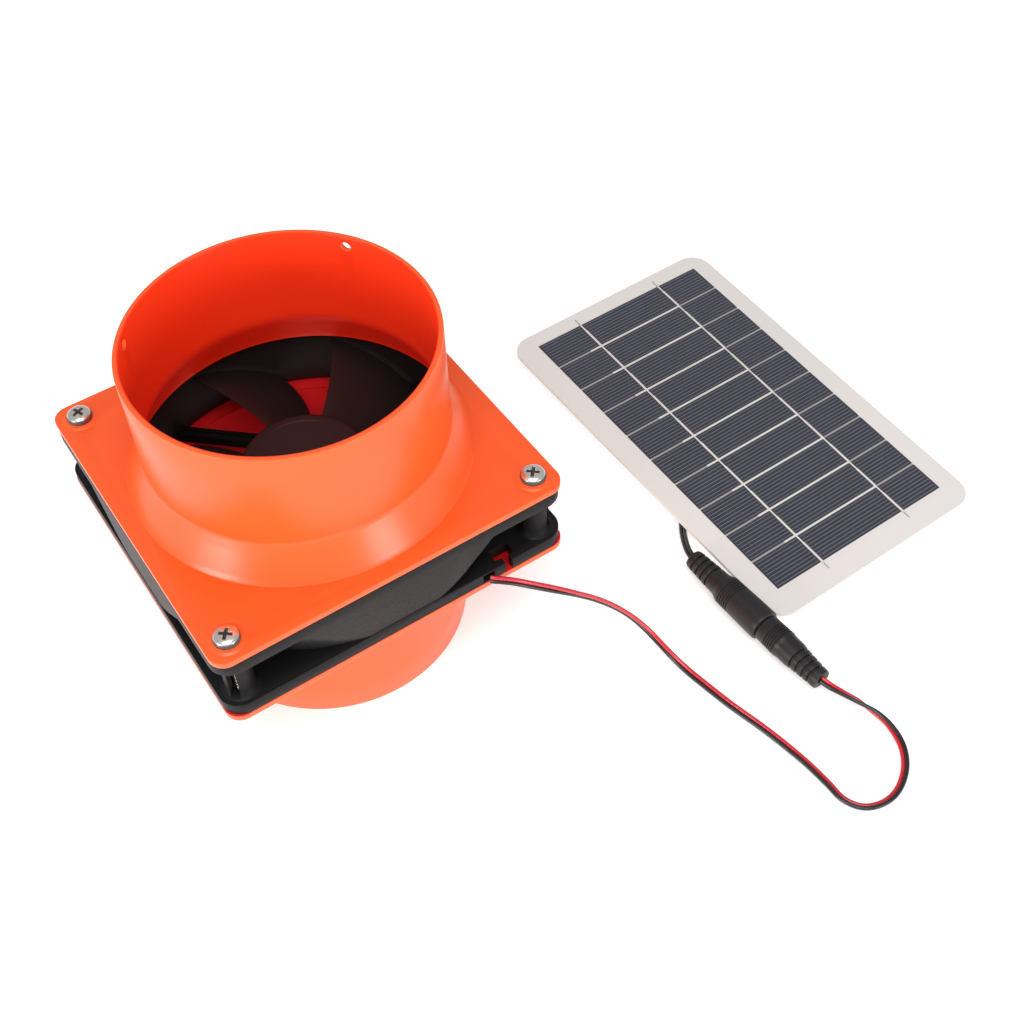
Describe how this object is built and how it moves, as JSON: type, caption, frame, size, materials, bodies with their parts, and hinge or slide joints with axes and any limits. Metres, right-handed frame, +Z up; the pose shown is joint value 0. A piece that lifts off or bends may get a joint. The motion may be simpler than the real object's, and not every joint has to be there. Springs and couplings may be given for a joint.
{
  "type": "solar attic fan",
  "caption": "Boxed axial fan between two round duct collars, driven by a small flat solar panel on a plug-in two-wire lead.",
  "frame": {"origin": "under the middle of the fan and panel together, leads left out, on the surface they stand on", "axes": "+Z up along the fan's air path, +X from the fan towards the panel, +Y along the side of the square fan frame, away from the side where its lead comes out"},
  "size_m": [0.277, 0.234, 0.126],
  "materials": {
    "orange": "satin injection-moulded",
    "black": "satin moulded",
    "steel": "bright plated",
    "brass": "turned",
    "magnet": "bonded ferrite",
    "core": "laminated",
    "insulator": "moulded",
    "copper": "enamelled copper winding",
    "board": "solder mask",
    "chip": "moulded",
    "cream": "smooth",
    "cell": "silicon under an anti-reflective coat",
    "ribbon": "tinned",
    "clear": "clear film",
    "paper": "plain label stock",
    "red_wire": "red and black vinyl sleeve",
    "black_wire": "black vinyl sleeve"
  },
  "bodies": {
    "fan": {"lower_duct_flange": "orange", "upper_duct_flange": "orange", "fan_frame": "black", "base_label": "paper", "bearing_tube": "brass", "bearing_lower": "steel", "bearing_upper": "steel", "preload_washer": "steel", "stator_core": "core", "insulator_lower": "insulator", "insulator_upper": "insulator", "coil_1": "copper", "coil_2": "copper", "coil_3": "copper", "coil_4": "copper", "motor_board": "board", "driver_chip": "chip", "clamp_screw_1": "steel", "clamp_screw_2": "steel", "clamp_screw_3": "steel", "clamp_screw_4": "steel", "clamp_nut_1": "steel", "clamp_nut_2": "steel", "clamp_nut_3": "steel", "clamp_nut_4": "steel", "strut_lead": "red_wire", "fan_lead": "red_wire", "dc_plug_body": "black", "dc_plug_barrel": "steel"},
    "rotor": {"impeller": "black", "rotor_yoke": "steel", "magnet_ring": "magnet", "rotor_bush": "brass", "rotor_shaft": "steel", "retaining_clip": "steel"},
    "panel": {"panel_board": "cream", "cover_laminate": "clear", "solar_cell_01": "cell", "solar_cell_02": "cell", "solar_cell_03": "cell", "solar_cell_04": "cell", "solar_cell_05": "cell", "solar_cell_06": "cell", "solar_cell_07": "cell", "solar_cell_08": "cell", "solar_cell_09": "cell", "solar_cell_10": "cell", "busbar_ribbon_1": "ribbon", "busbar_ribbon_2": "ribbon", "junction_box": "black", "junction_box_lid": "black", "blocking_diode": "chip", "panel_lead": "black_wire", "dc_socket_body": "black", "dc_socket_pin": "steel"}
  },
  "joints": [
    {"name": "impeller_spin", "type": "hinge", "parent": "fan", "child": "rotor", "pos_m": [-0.07853, 0.02074, 0.063], "axis": [0, 0, 1], "continuous": true},
    {"name": "jack_unplug", "type": "slide", "parent": "fan", "child": "panel", "axis": [-0.0466, 0.9989, 0], "range_m": [0, 0.0105]}
  ]
}
